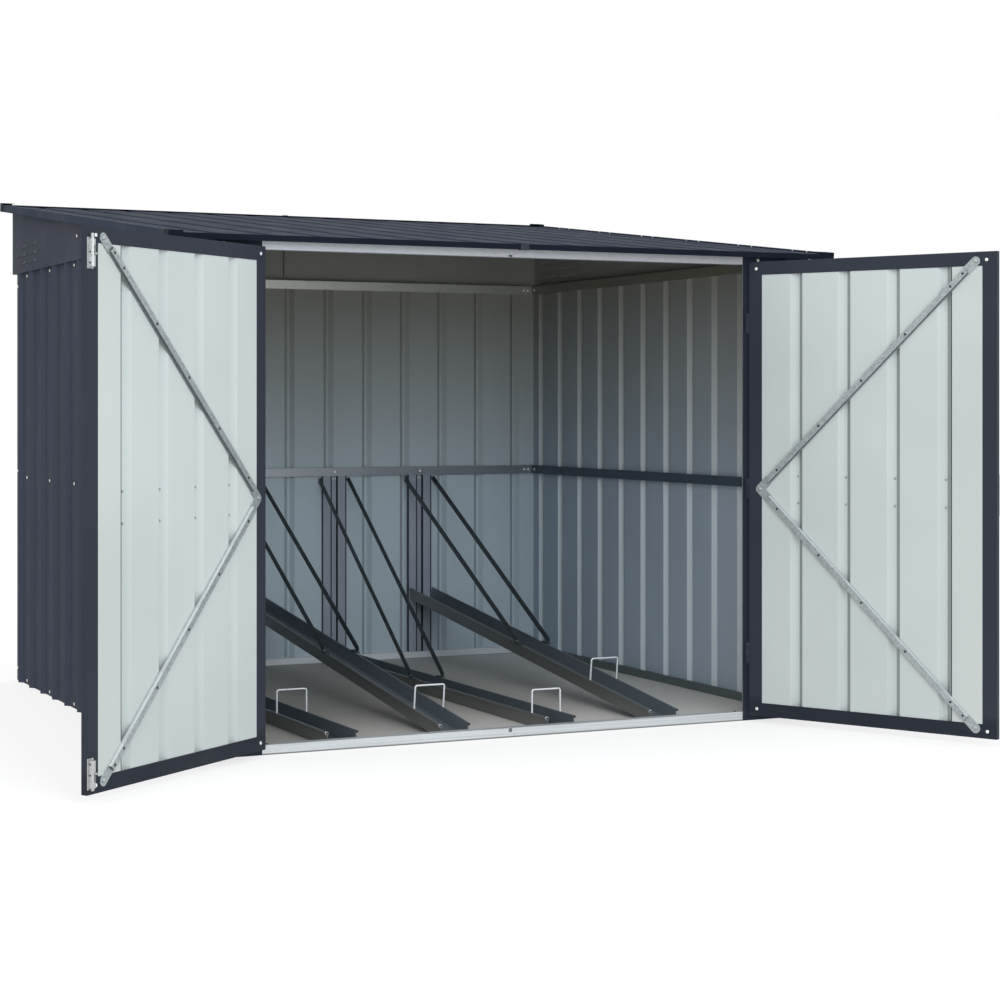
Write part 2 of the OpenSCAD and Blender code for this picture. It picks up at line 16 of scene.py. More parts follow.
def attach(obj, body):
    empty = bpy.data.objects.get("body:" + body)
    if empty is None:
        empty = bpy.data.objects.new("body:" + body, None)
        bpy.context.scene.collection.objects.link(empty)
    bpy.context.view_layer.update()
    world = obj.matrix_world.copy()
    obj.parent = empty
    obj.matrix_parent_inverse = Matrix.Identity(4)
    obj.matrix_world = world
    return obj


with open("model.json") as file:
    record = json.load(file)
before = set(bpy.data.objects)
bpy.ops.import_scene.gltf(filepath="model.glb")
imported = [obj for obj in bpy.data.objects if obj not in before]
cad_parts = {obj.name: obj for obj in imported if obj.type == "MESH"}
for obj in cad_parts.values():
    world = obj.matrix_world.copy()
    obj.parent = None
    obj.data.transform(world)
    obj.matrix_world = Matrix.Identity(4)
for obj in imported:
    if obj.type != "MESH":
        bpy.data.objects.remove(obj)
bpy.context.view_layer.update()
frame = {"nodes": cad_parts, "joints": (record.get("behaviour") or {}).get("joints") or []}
nodes = frame["nodes"]
scene = bpy.context.scene

# %% [markdown]
# ## The camera
# The picture was taken by a level camera: upright edges stay upright in it, and the rest of the framing is
# a shift of the lens. A tilted camera would make the walls lean, so the camera here is level too, turned
# 24 degrees to the right, and its shift puts the horizon where the picture has it.

# %% Camera
camera_data = bpy.data.cameras.new("level_camera")
camera_data.lens = 75.7
camera_data.sensor_width = 36.0
camera_data.shift_x = 0.0896
camera_data.shift_y = -0.0958
camera = bpy.data.objects.new("level_camera", camera_data)
camera.location = (-2.4832, -5.7354, 0.8692)
camera.rotation_euler = (radians(90), 0, radians(-24.01))
scene.collection.objects.link(camera)
scene.camera = camera
print("camera stands", round(camera.location.length, 2), "m from the middle of the shelter")

# %% [markdown]
# ## Light and floor
# The shelter stands in a bright white studio. A white world gives light from everywhere, so that the open
# doors are evenly lit and only the room behind them falls into shade. Two large soft lamps add direction:
# one high on the left for the roof and the left wall, and a cooler one in front for the floor inside. The
# plain tone curve keeps white paint white.

# %% Studio
scene.view_settings.view_transform = "Standard"
studio = bpy.data.worlds.new("white_studio")
studio.use_nodes = True
studio.node_tree.nodes["Background"].inputs["Color"].default_value = (1.0, 1.0, 1.0, 1.0)
studio.node_tree.nodes["Background"].inputs["Strength"].default_value = 1.0
scene.world = studio


def soft_lamp(name, place, target, size, watts):
    """A square lamp of soft light that looks at a point."""
    data = bpy.data.lights.new(name, "AREA")
    data.size = size
    data.energy = watts
    lamp = bpy.data.objects.new(name, data)
    lamp.location = place
    lamp.rotation_euler = (Vector(target) - Vector(place)).to_track_quat("-Z", "Y").to_euler()
    scene.collection.objects.link(lamp)
    return lamp


soft_lamp("high_left_lamp", (-4.0, -3.5, 5.0), (0, 0, 0.8), 4.0, 50)
cool_lamp = soft_lamp("front_lamp", (-0.8, -6.0, 2.2), (0.2, 0, 0.5), 3.0, 128)
cool_lamp.data.color = (0.8, 0.91, 1.0)

# %% [markdown]
# ## Finishes as small node trees
# A finish is a tree of nodes that feeds the shader's colour, roughness and bump. Every finish here reads
# Object coordinates, and some also read the way that a face looks. All solids sit at the origin, so these
# are metres in the shelter's own frame, and a pattern keeps its true scale from piece to piece. A few short
# helpers make the trees easy to read, and shades are written on the usual scale from 0 to 255.

# %% Node helpers


def wire(tree, node, sockets):
    """Links the named sockets of a node to other nodes, or sets them to plain values."""
    for name, value in sockets.items():
        if isinstance(value, bpy.types.NodeSocket):
            tree.links.new(value, node.inputs[name])
        else:
            node.inputs[name].default_value = value


def make(tree, kind, sockets, **settings):
    """Adds a node, sets its options and wires its sockets."""
    made = tree.nodes.new(kind)
    for name, value in settings.items():
        setattr(made, name, value)
    wire(tree, made, sockets)
    return made


def reckon(tree, operation, *values):
    """A sum with one, two or three values, such as a product."""
    return make(tree, "ShaderNodeMath", dict(enumerate(values)), operation=operation).outputs[0]


def grain(tree, where, scale, detail=2.0):
    """Soft noise from 0 to 1, with scale in waves to the metre."""
    sockets = {"Vector": where, "Scale": scale, "Detail": detail}
    return make(tree, "ShaderNodeTexNoise", sockets).outputs["Fac"]


def stretched(tree, where, x, y, z):
    """Coordinates drawn out along an axis, for brush marks and scratches."""
    return make(tree, "ShaderNodeMapping", {"Vector": where, "Scale": (x, y, z)}).outputs["Vector"]


def coordinate(tree, where, axis):
    """The X, Y or Z of a point or of a direction."""
    return make(tree, "ShaderNodeSeparateXYZ", {"Vector": where}).outputs[axis]


def between(tree, value, low, high, start=0.0, end=1.0):
    """Spreads low to high over start to end, and holds the ends."""
    sockets = {"Value": value, "From Min": low, "From Max": high, "To Min": start, "To Max": end}
    return make(tree, "ShaderNodeMapRange", sockets).outputs["Result"]


def linear(level):
    """One level of a shade, taken from the 0 to 255 scale to the shader's own."""
    level = level / 255
    return level / 12.92 if level <= 0.04045 else ((level + 0.055) / 1.055) ** 2.4


def tint(tree, factor, first, second):
    """Colour that goes from the first to the second, each a socket or a shade."""
    ends = [(*map(linear, end), 1.0) if isinstance(end, tuple) else end for end in (first, second)]
    return make(tree, "ShaderNodeMix", {0: factor, 6: ends[0], 7: ends[1]}, data_type="RGBA").outputs[2]


def relief(tree, height, strength, depth, under=None):
    """Bump from a height, on top of the bump under it."""
    sockets = {"Height": height, "Strength": strength, "Distance": depth}
    if under is not None:
        sockets["Normal"] = under
    return make(tree, "ShaderNodeBump", sockets).outputs["Normal"]


def looks_towards(tree, place, direction):
    """How far a face looks in a direction: 1 for straight along it, -1 for away from it."""
    sockets = {0: place.outputs["Normal"], 1: direction}
    return make(tree, "ShaderNodeVectorMath", sockets, operation="DOT_PRODUCT").outputs["Value"]


def new_finish(name):
    """An empty finish: the material, its tree, its shader and the coordinates."""
    material = bpy.data.materials.new(name)
    material.use_nodes = True
    tree = material.node_tree
    place = tree.nodes.new("ShaderNodeTexCoord")
    return material, tree, tree.nodes["Principled BSDF"], place


def reopen(material):
    """A finish opened again: its tree, its shader, the coordinates and its colour so far."""
    tree = material.node_tree
    shader = tree.nodes["Principled BSDF"]
    return tree, shader, tree.nodes["Texture Coordinate"], shader.inputs["Base Color"].links[0].from_socket


print("node helpers ready; middle grey is", round(linear(128), 3), "to the shader")

# %% [markdown]
# ## The baked coat
# The sheets are painted at the mill: anthracite outside, pale grey inside. Baked paint is a satin film with
# a fine orange-peel skin, and thin sheet is never quite flat, so broad, very shallow waves bend its
# reflections. Near the ground the coat is dusty, and feet and tyres leave short pale scuffs. The same marks
# serve every coat, so the coats differ only in shade and shine. Roofs are seen at a grazing angle, where any
# gloss turns dark paint grey, so the roof's coat and the trims are nearly matt, and the long trims are a
# deeper navy, which is partly painted shade, the shade under the roof's edge.

# %% Baked coat
ANTHRACITE = (40, 44, 53), (45, 49, 59)
ROOF_BLUE = (33, 42, 58), (38, 47, 63)
NAVY = (20, 24, 34), (24, 28, 38)
GROUND_DUST = (120, 116, 108)
FOOT_FULL, FOOT_END = 0.055, 0.08
THIN_SHEET, FOLDED_SHEET = 0.0004, 0.0002


def coat_marks(tree, where):
    """What the eye sees in a baked coat: soft clouds, a fine speckle, and scuffs low down."""
    clouds = between(tree, grain(tree, where, 1.7, 3.0), 0.35, 0.65)
    speckle = between(tree, grain(tree, where, 420.0, 0.0), 0.3, 0.7, 0.0, 0.22)
    low = between(tree, coordinate(tree, where, "Z"), 0.0, 0.12, 0.12, 0.0)
    scuffs = between(tree, grain(tree, stretched(tree, where, 14, 14, 60), 1.0, 4.0), 0.56, 0.7)
    return clouds, speckle, reckon(tree, "MULTIPLY", low, scuffs)


def coat_colour(tree, marks, shades, dust):
    """Colour of a coat between two shades, with dust in its scuffs."""
    clouds, speckle, scuffs = marks
    deep, light = shades
    colour = tint(tree, clouds, deep, light)
    colour = tint(tree, speckle, colour, light)
    return tint(tree, scuffs, colour, dust)


def coat_surface(tree, where, shine, depth):
    """Satin patches, and the bump of a coat on sheet: broad waves with orange peel on top."""
    satin = between(tree, grain(tree, where, 9.0), 0.3, 0.7, 0.5, 0.62)
    waves = relief(tree, grain(tree, where, 2.6, 1.0), 0.6, depth * 9)
    skin = relief(tree, grain(tree, where, 620.0, 0.0), 0.12, depth, waves)
    return {"Roughness": satin, "Specular IOR Level": shine, "Normal": skin}


def dark_coat(name, shades, shine, foot=0.0):
    """The dark coat of frames, trims and angles, with painted shade at the foot where asked."""
    material, tree, shader, place = new_finish(name)
    where = place.outputs["Object"]
    colour = coat_colour(tree, coat_marks(tree, where), shades, GROUND_DUST)
    # Painted shade near the ground: the coat darkens to navy at its foot.
    low = between(tree, coordinate(tree, where, "Z"), FOOT_FULL, FOOT_END, foot, 0.0)
    wire(tree, shader, {"Base Color": tint(tree, low, colour, NAVY[0])})
    wire(tree, shader, coat_surface(tree, where, shine, FOLDED_SHEET))
    return material


anthracite = dark_coat("anthracite_coat", ANTHRACITE, 0.14)
# The leaf frames get the darker foot, which is painted shade.
frame_coat = dark_coat("frame_coat", ANTHRACITE, 0.14, foot=0.5)
side_trim_coat = dark_coat("side_trim_coat", ROOF_BLUE, 0.04)
# Navy is partly painted shade: under the roof's edge on the trims and caps, beside the leaves on the jambs.
navy_coat = dark_coat("navy_coat", NAVY, 0.03)
print("made", [m.name for m in (anthracite, frame_coat, side_trim_coat, navy_coat)])

# %% [markdown]
# ## Two coats on one sheet
# A sheet is one thin solid, dark on one side and pale on the other. Rather than cut it in two, its finish
# compares the way each face looks with the way the sheet's outer side looks, and picks the coat.
#
# Soft, even light can't give every shadow of the photograph, so some tints stand in for its light and aren't
# the paint's own: the flanks of the ribs, the warm tops of the inner walls, a bluer shade on the side walls
# than on the back one, and a darker foot on the leaf frames. They were matched by comparing renders with
# the photo.

# %% Two-sided sheet
LEFT, RIGHT = Vector((-1, 0, 0)), Vector((1, 0, 0))
FRONT, BACK, UP = Vector((0, -1, 0)), Vector((0, 1, 0)), Vector((0, 0, 1))
PALE_DUST = (150, 148, 138)
# Painted shade: the inner walls darken towards a warm grey higher up, under the roof.
TOP_SHADE_GREY, TOP_SHADE_FROM, TOP_SHADE_FULL = (140, 134, 118), 0.55, 1.25
LIT_RIB_SLATE = (66, 71, 84)
FOLD_FROM, FOLD_FULL = 0.25, 0.6
OUTER_SIDE = 0.05


def fold_tint(tree, place, colour, direction, other, amount):
    """Tints the faces that look in a direction, such as one flank of every rib: a painted shade with a dark
    colour, a painted highlight with a light one.
    """
    looks = looks_towards(tree, place, direction)
    return tint(tree, between(tree, looks, FOLD_FROM, FOLD_FULL, 0.0, amount), colour, other)


def two_sided_sheet(name, outward, outside_shades, inside_shades, shine, painted_top_shade=0.0, folds=(), painted_front_light=0.0):
    """Sheet with a dark coat on the side that faces outward and a light one on the other."""
    material, tree, shader, place = new_finish(name)
    where = place.outputs["Object"]
    outside = reckon(tree, "GREATER_THAN", looks_towards(tree, place, outward), OUTER_SIDE)
    marks = coat_marks(tree, where)
    dark = coat_colour(tree, marks, outside_shades, GROUND_DUST)
    pale = coat_colour(tree, marks, inside_shades, PALE_DUST)
    # Painted shade and painted highlight on the flanks of ribs and grooves.
    for direction, other, amount in folds:
        pale = fold_tint(tree, place, pale, direction, other, amount)
    # Painted shade: the inner side darkens towards a warm grey higher up.
    top_shade_mask = between(tree, coordinate(tree, where, "Z"), TOP_SHADE_FROM, TOP_SHADE_FULL, 0.0, painted_top_shade)
    pale = tint(tree, top_shade_mask, pale, TOP_SHADE_GREY)
    # Painted highlight: outside, the rib flanks that look to the front are lighter.
    if painted_front_light > 0:
        dark = fold_tint(tree, place, dark, FRONT, LIT_RIB_SLATE, painted_front_light)
    wire(tree, shader, {"Base Color": tint(tree, outside, pale, dark)})
    wire(tree, shader, coat_surface(tree, where, shine, THIN_SHEET))
    return material


print("outer coat where a face looks outward by more than", OUTER_SIDE)

# %% [markdown]
# ## Zinc
# Rails, braces, threshold and lintel are galvanised. Zinc freezes in flat crystals, the spangle, each with
# its own tilt, so a Voronoi pattern gives every cell a slightly different grey and gloss. On strip this thin
# the spangle is fine and faint. Rolling marks run along it, and a pale bloom dulls the zinc in patches. Where
# it stands on the ground, its lowest few millimetres are darkened as a painted contact shadow. The upper and
# lower sides of the braces are tinted to stand in for the photo's light, and so are the duller side rails.

# %% Galvanised finishes
DRAWN_GREY = (158, 161, 163)
CONTACT_SHADOW_GREY = (70, 70, 66)
ROUGHER_CELL = 0.06


def galvanised(name, deep, light, gloss, cells, metal, folds=(), drawn=0.0):
    """Zinc between two shades: its roughness, spangle cells to the metre, and how metallic it is."""
    material, tree, shader, place = new_finish(name)
    where = place.outputs["Object"]
    spangle = make(tree, "ShaderNodeTexVoronoi", {"Vector": where, "Scale": cells}).outputs["Color"]
    cell = make(tree, "ShaderNodeSeparateColor", {"Color": spangle}).outputs["Red"]
    bloom = between(tree, grain(tree, where, 5.0, 3.0), 0.45, 0.75, 0.0, 0.1)
    colour = tint(tree, bloom, tint(tree, cell, deep, light), light)
    lines = grain(tree, stretched(tree, where, 3, 3, 400), 1.0, 3.0)
    colour = tint(tree, between(tree, lines, 0.4, 0.65, 0.0, drawn), colour, DRAWN_GREY)
    # Painted contact shadow: the lowest few millimetres darken.
    contact_shadow = between(tree, coordinate(tree, where, "Z"), 0.002, 0.005, 0.85, 0.0)
    colour = tint(tree, contact_shadow, colour, CONTACT_SHADOW_GREY)
    for direction, other, amount in folds:
        colour = fold_tint(tree, place, colour, direction, other, amount)
    marks = grain(tree, stretched(tree, where, 6, 6, 300), 3.0, 3.0)
    wire(tree, shader, {
        "Base Color": colour, "Metallic": metal, "Normal": relief(tree, marks, 0.08, 0.0002),
        "Roughness": between(tree, cell, 0.0, 1.0, gloss, gloss + ROUGHER_CELL)})
    return material


sill_zinc = galvanised("sill_zinc", (190, 193, 194), (197, 200, 201), 0.5, 240.0, 0.2, drawn=0.6)
bright_zinc = galvanised("bright_zinc", (214, 217, 219), (222, 225, 227), 0.42, 160.0, 0.35)
side_rail_zinc = galvanised("side_rail_zinc", (120, 118, 106), (128, 126, 113), 0.5, 160.0, 0.2)
# The back top rail's zinc is far brighter than the back mid rail's: painted light.
mid_rail_zinc = galvanised("mid_rail_zinc", (144, 149, 154), (151, 156, 161), 0.4, 160.0, 0.9)
top_rail_zinc = galvanised("top_rail_zinc", (228, 228, 219), (236, 236, 228), 0.4, 160.0, 0.95)
lintel_zinc = galvanised("lintel_zinc", (176, 178, 183), (184, 186, 190), 0.42, 160.0, 0.5)
guide_zinc = galvanised("guide_zinc", (158, 159, 159), (182, 183, 183), 0.36, 400.0, 0.5)
plated_steel = galvanised("plated_steel", (224, 224, 220), (238, 238, 234), 0.3, 600.0, 0.5)
brace_folds = (UP, (230, 234, 234), 0.8), (-UP, (66, 70, 72), 0.8)
brace_zinc = galvanised("brace_zinc", (140, 147, 148), (168, 174, 175), 0.4, 220.0, 0.5, brace_folds)
zincs = (sill_zinc, bright_zinc, side_rail_zinc, mid_rail_zinc, top_rail_zinc, lintel_zinc, guide_zinc)
print("made", [m.name for m in zincs + (plated_steel, brace_zinc)])

# %% [markdown]
# ## Paint on the racks
# The struts are painted dark, the uprights behind them paler, and both are rubbed in long streaks that
# follow stretched noise. The folds of the uprights show in the photo as thin dark lines, their shadows, and
# these are painted. Two of them are faces turned to the left, which get painted shade, as does every face
# of an upright that doesn't look to the front. The other two are turned away from the camera, so a painted
# shadow line lies beside each. The wheel channels are dull zinc. The photo has them taupe on the outer sides
# and blue-grey within, and their finish has these two tones, which stand in for the light of the room.

# %% Rack finishes
MM = 0.001
CHANNEL_PITCH = 314.0
UPRIGHT_SHADOW_LINES = (-13.502, 39.564)
LINE_HALF, LINE_STRENGTH = 2.512, 0.9
FRONT_FACE = 0.9


def rubbed_paint(name, deep, light, bare, rubbed):
    """Satin paint that is rubbed towards a bare shade in long streaks."""
    material, tree, shader, place = new_finish(name)
    where = place.outputs["Object"]
    clouds = between(tree, grain(tree, where, 4.0, 3.0), 0.35, 0.65)
    streaks = grain(tree, stretched(tree, where, 90, 3, 90), 1.0, 4.0)
    worn = between(tree, streaks, 0.55, 0.75, 0.0, rubbed)
    wire(tree, shader, {
        "Base Color": tint(tree, worn, tint(tree, clouds, deep, light), bare),
        "Roughness": between(tree, clouds, 0.0, 1.0, 0.38, 0.52), "Specular IOR Level": 0.4,
        "Normal": relief(tree, grain(tree, where, 500.0), 0.1, 0.0003)})
    return material


def off_middle_line(tree, place):
    """How far a point lies from its channel's middle line, as a share of the pitch."""
    across = coordinate(tree, place.outputs["Object"], "X")
    count = reckon(tree, "ADD", reckon(tree, "DIVIDE", across, CHANNEL_PITCH * MM), 2.0)
    return reckon(tree, "SUBTRACT", reckon(tree, "FRACT", count), 0.5)


def channel_with_painted_light():
    """Channel zinc, taupe-grey on the outer sides and blue-grey within: painted light, with a painted reflection
    of the floor on the outer sides.
    """
    material = galvanised("channel_zinc", (126, 134, 142), (136, 144, 152), 0.38, 220.0, 0.5)
    tree, shader, place, inner = reopen(material)
    looks = coordinate(tree, place.outputs["Normal"], "X")
    outer = between(tree, reckon(tree, "MULTIPLY", off_middle_line(tree, place), looks), 0.01, 0.05)
    wire(tree, shader, {"Base Color": tint(tree, outer, inner, (122, 123, 121))})
    return material


def paint_with_painted_shadows(name, deep, light, edge):
    """Paint with painted shade on faces that don't look to the front, and painted shadow lines along two folds.
    """
    material = rubbed_paint(name, deep, light, light, 0.2)
    tree, shader, place, colour = reopen(material)
    off = off_middle_line(tree, place)
    # Painted shadow lines along the two folds that turn away.
    for middle in UPRIGHT_SHADOW_LINES:
        line = reckon(tree, "COMPARE", off, middle / CHANNEL_PITCH, LINE_HALF / CHANNEL_PITCH)
        colour = tint(tree, reckon(tree, "MULTIPLY", line, LINE_STRENGTH), colour, edge)
    front = reckon(tree, "GREATER_THAN", looks_towards(tree, place, FRONT), FRONT_FACE)
    wire(tree, shader, {"Base Color": tint(tree, front, edge, colour)})
    return material


channel_zinc = channel_with_painted_light()
strut_paint = rubbed_paint("strut_paint", (52, 60, 64), (62, 70, 74), (104, 110, 112), 0.25)
upright_paint = paint_with_painted_shadows("upright_paint", (140, 146, 158), (153, 158, 169), (30, 34, 40))
rail_paint = rubbed_paint("rail_paint", (58, 70, 84), (66, 78, 92), (104, 114, 124), 0.2)
floor_rail_paint = rubbed_paint("floor_rail_paint", (88, 98, 99), (98, 108, 108), (130, 138, 138), 0.2)
# The hinges are rubbed paler than the other paints; the pale streaks are partly wear and partly painted
# highlight, the glints on their knuckles.
hinge_paint = rubbed_paint("hinge_paint", (54, 59, 69), (64, 69, 80), (126, 132, 140), 0.35)
paints = (strut_paint, upright_paint, rail_paint, floor_rail_paint, hinge_paint)
print("made", [m.name for m in paints + (channel_zinc,)])

# %% [markdown]
# ## The floor inside
# The floor is a matt taupe board with a fine grain and a few trodden patches. It is tinted paler at the
# doorway and on the right, and darker on the left, which stands in for the light and the leaf's shadow in
# the photo.

# %% Floor finish


def taupe_board():
    """The matt floor inside."""
    material, tree, shader, place = new_finish("taupe_board")
    where = place.outputs["Object"]
    x, y = coordinate(tree, where, "X"), coordinate(tree, where, "Y")
    patches = between(tree, grain(tree, where, 2.2, 5.0), 0.3, 0.7)
    colour = tint(tree, patches, (180, 177, 172), (196, 193, 188))
    colour = tint(tree, between(tree, y, -0.8, -0.3, 0.95, 0.0), colour, (242, 239, 236))
    colour = tint(tree, between(tree, x, -0.6, 0.1, 0.6, 0.0), colour, (150, 147, 140))
    colour = tint(tree, between(tree, x, 0.2, 0.8, 0.0, 0.7), colour, (242, 239, 234))
    fine = between(tree, grain(tree, where, 300.0, 3.0), 0.35, 0.7, 0.0, 0.35)
    wire(tree, shader, {
        "Base Color": tint(tree, fine, colour, (168, 162, 152)),
        "Roughness": between(tree, patches, 0.0, 1.0, 0.6, 0.8), "Specular IOR Level": 0.25,
        "Normal": relief(tree, grain(tree, where, 180.0, 4.0), 0.2, 0.0005)})
    return material


floor_board = taupe_board()
print("made", floor_board.name)

# %% [markdown]
# ## Which way the sheets face
# A two-sided sheet needs the direction of its outer side. Walls and gables face along the axes, the roof
# faces up its slope, and a leaf faces wherever its hinge has turned it. The hinge's range runs from shut, so
# its lower limit says how far the leaf stands open here, and that gives a small frame of its own for
# everything fixed to the leaf.

# %% The leaves' own frames
EDGE_GAP = 6 * MM
LEAVES = ("left_door", "right_door")
hinges = {j["child"]: j for j in frame["joints"] if j["type"] == "hinge"}


def leaf_turn(leaf):
    """The leaf's side, 1 for right and -1 for left, its hinge and how far it stands open."""
    joint = hinges[leaf]
    hinge = Vector(joint["pos_m"])
    return (1 if hinge.x > 0 else -1), hinge, radians(-joint["range_deg"][0])


def leaf_point(leaf, along, depth, height):
    """A point on a leaf: along from its hinge edge, depth from its axis into the room, height."""
    side, hinge, turn = leaf_turn(leaf)
    out = -along - EDGE_GAP
    x = abs(hinge.x) + out * cos(turn) - depth * sin(turn)
    y = hinge.y + out * sin(turn) + depth * cos(turn)
    return Vector((side * x, y, height))


def leaf_inward(leaf):
    """The direction that a leaf's inner face looks in."""
    side, _, turn = leaf_turn(leaf)
    return Vector((-side * sin(turn), cos(turn), 0))


def leaf_to_hinge(leaf):
    """The direction along a leaf from its free edge to its hinge."""
    return leaf_point(leaf, 0, 0, 0) - leaf_point(leaf, 1, 0, 0)


ROOF_PITCH = radians(6.9)
outward = {
    "left_wall": LEFT, "left_gable": LEFT, "right_wall": RIGHT, "right_gable": RIGHT,
    "back_wall": BACK, "back_top_panels": BACK, "front_left_panel": FRONT, "front_right_panel": FRONT,
    "roof_sheet": Vector((0, -sin(ROOF_PITCH), cos(ROOF_PITCH))),
    "left_door_sheet": -leaf_inward("left_door"), "right_door_sheet": -leaf_inward("right_door"),
}
print({n: [round(v, 2) for v in d] for n, d in outward.items() if "door" in n})

# %% [markdown]
# ## Dressing the solids
# Each solid keeps its shape and place and only gets a finish. Most of what isn't sheet is anthracite, so the
# list names the others, and the rest follow in the next step.

# %% Dress the solids
dress = {
    "front_threshold": sill_zinc, "rear_floor_rail": bright_zinc, "front_lintel": lintel_zinc,
    "back_mid_rail": mid_rail_zinc, "back_top_rail": top_rail_zinc,
    "left_top_rail": side_rail_zinc, "right_top_rail": side_rail_zinc,
    "left_mid_rail": rail_paint, "right_mid_rail": rail_paint,
    "left_floor_rail": floor_rail_paint, "right_floor_rail": floor_rail_paint,
    "left_door_frame": frame_coat, "right_door_frame": frame_coat,
    "left_door_braces": brace_zinc, "right_door_braces": brace_zinc,
    "left_door_knob": plated_steel, "bolt_guides": guide_zinc,
    "top_bolt": guide_zinc, "bottom_bolt": guide_zinc, "wheel_hoops": bright_zinc,
    "rack_uprights": upright_paint, "rack_struts": strut_paint, "floor_panel": floor_board,
    # The navy trims, caps and jambs are partly painted shade.
    "roof_front_trim": navy_coat, "roof_rear_trim": navy_coat,
    "front_left_jamb": navy_coat, "front_right_jamb": navy_coat,
    "roof_left_trim": side_trim_coat, "roof_right_trim": side_trim_coat, "roof_corner_caps": navy_coat,
}
for number in range(1, 5):
    dress[f"rack_channel_{number}"] = channel_zinc
for side in ("left", "right"):
    dress[f"{side}_hinge_brackets"] = dress[f"{side}_hinge_leaves"] = hinge_paint
print("named finishes for", len(dress), "solids")

# %% [markdown]
# ## Dressing the sheets
# Every sheet gets a finish of its own, because each looks another way. Walls and leaves are slate outside,
# the roof is bluer, and the front sheets match the frames. Inside they are pale, bluer on the side walls
# than on the back one, which is painted light. The sheets above the walls are darker inside and the roof's
# underside darker still, which is partly painted shade under the roof.

# %% Dress the sheets
SLATE = (53, 57, 68), (58, 62, 73)
PALE = (175, 181, 179), (184, 190, 188)
# The side walls' inner coat is bluer than the back wall's: painted light.
HAZE = (176, 188, 195), (184, 196, 203)
MIST = (166, 181, 195), (175, 190, 204)
# The upper sheets and the roof's underside are darker inside: partly painted shade under the roof.
UPPER_INSIDE = (148, 148, 142), (160, 160, 153)
SOFFIT = (92, 92, 88), (102, 102, 97)
FLANK_SHADE, FLANK_LIGHT = (112, 122, 124), (240, 246, 246)
WALL_SHINE, LEAF_SHINE = 0.02, 0.16
PAINTED_TOP_SHADE, PAINTED_FRONT_LIGHT = 0.8, 0.8
# Painted light on the flanks: a painted highlight on the side walls' flanks that look to the front, painted
# shade on the back wall's flanks and on the leaves' groove walls that look to the hinge.
side_flanks = ((FRONT, FLANK_LIGHT, 0.5),)
painted_rib_light = {
    "back_wall": ((LEFT, FLANK_SHADE, 0.15), (RIGHT, FLANK_SHADE, 0.35)),
    "right_wall": side_flanks, "left_wall": side_flanks,
}
for leaf in LEAVES:
    painted_rib_light[f"{leaf}_sheet"] = ((leaf_to_hinge(leaf), FLANK_SHADE, 0.6),)
for name, direction in outward.items():
    outside, inside, shine, painted_top_shade, lift = SLATE, PALE, WALL_SHINE, 0.0, 0.0
    if name in ("left_wall", "right_wall"):
        inside, painted_top_shade, lift = MIST, PAINTED_TOP_SHADE, PAINTED_FRONT_LIGHT
    elif name == "back_wall":
        inside, painted_top_shade = HAZE, PAINTED_TOP_SHADE
    elif name in ("left_gable", "right_gable", "back_top_panels"):
        inside = UPPER_INSIDE
    elif name == "roof_sheet":
        outside, inside = ROOF_BLUE, SOFFIT
    elif name.startswith("front"):
        outside = ANTHRACITE
    else:
        shine = LEAF_SHINE
    folds = painted_rib_light.get(name, ())
    dress[name] = two_sided_sheet(f"{name}_coat", direction, outside, inside, shine, painted_top_shade, folds, lift)
for name, solid in nodes.items():
    solid.data.materials.clear()
    solid.data.materials.append(dress.get(name, anthracite))
print("dressed", len(nodes), "solids with", len({m.name for m in dress.values()}) + 1, "finishes")

# %% [markdown]
# ## A bench for small parts
# Thin sheet is held by self-drilling screws: a small zinc head that presses a dark rubber washer on the
# paint. Nuts and bolts hold what carries more. All of them start as a short upright cylinder on the bench,
# and the top face is then inset and lifted, step by step, which is how they are turned or pressed.

# %% Bench tools
SMOOTH_BELOW = radians(35)


def start_disc(name, sides, radius, height):
    """A short cylinder that stands on the origin, in edit mode with its top face selected."""
    bpy.ops.object.select_all(action="DESELECT")
    bpy.ops.mesh.primitive_cylinder_add(vertices=sides, radius=radius * MM, depth=height * MM)
    disc = bpy.context.active_object
    disc.name = name
    bpy.ops.object.mode_set(mode="EDIT")
    bpy.ops.transform.translate(value=(0, 0, height * MM / 2))
    bpy.ops.mesh.select_mode(type="FACE")
    bpy.ops.mesh.select_all(action="DESELECT")
    mesh = bmesh.from_edit_mesh(disc.data)
    max(mesh.faces, key=lambda face: face.calc_center_median().z).select_set(True)
    bmesh.update_edit_mesh(disc.data)
    return disc


def step_in(width, rise=0.0):
    """Insets the selected face and lifts it."""
    bpy.ops.mesh.inset(thickness=width * MM, depth=rise * MM)


def step_up(rise):
    """Extrudes the selected face along its normal, down where the rise is negative."""
    bpy.ops.mesh.extrude_region_move(TRANSFORM_OT_translate={"value": (0, 0, rise * MM)})


def finish_disc(disc):
    """Leaves edit mode and smooths the slopes, but not the corners."""
    bpy.ops.object.mode_set(mode="OBJECT")
    bpy.ops.object.shade_smooth_by_angle(angle=SMOOTH_BELOW)
    print("bench:", disc.name, len(disc.data.polygons), "faces")
    return disc


print("the bench works in steps of", MM, "m")

# %% [markdown]
# ## Models for the fasteners
# Each kind is modelled once, with few faces because there are many, and copied to its places later.

# %% Fastener models


def screw_model():
    """A low domed head with a recess for the driver."""
    disc = start_disc("screw_model", 12, 4.4, 1.2)
    step_in(0.7, 0.6)
    step_in(1.0, 0.3)
    step_in(0.9)
    step_up(-0.8)
    return finish_disc(disc)


def washer_model():
    """A rubber washer, thick at its rim, with a shallow dish for the head."""
    disc = start_disc("washer_model", 14, 7.0, 0.7)
    step_in(0.8, 0.6)
    step_in(1.6)
    step_in(0.5, -0.3)
    return finish_disc(disc)


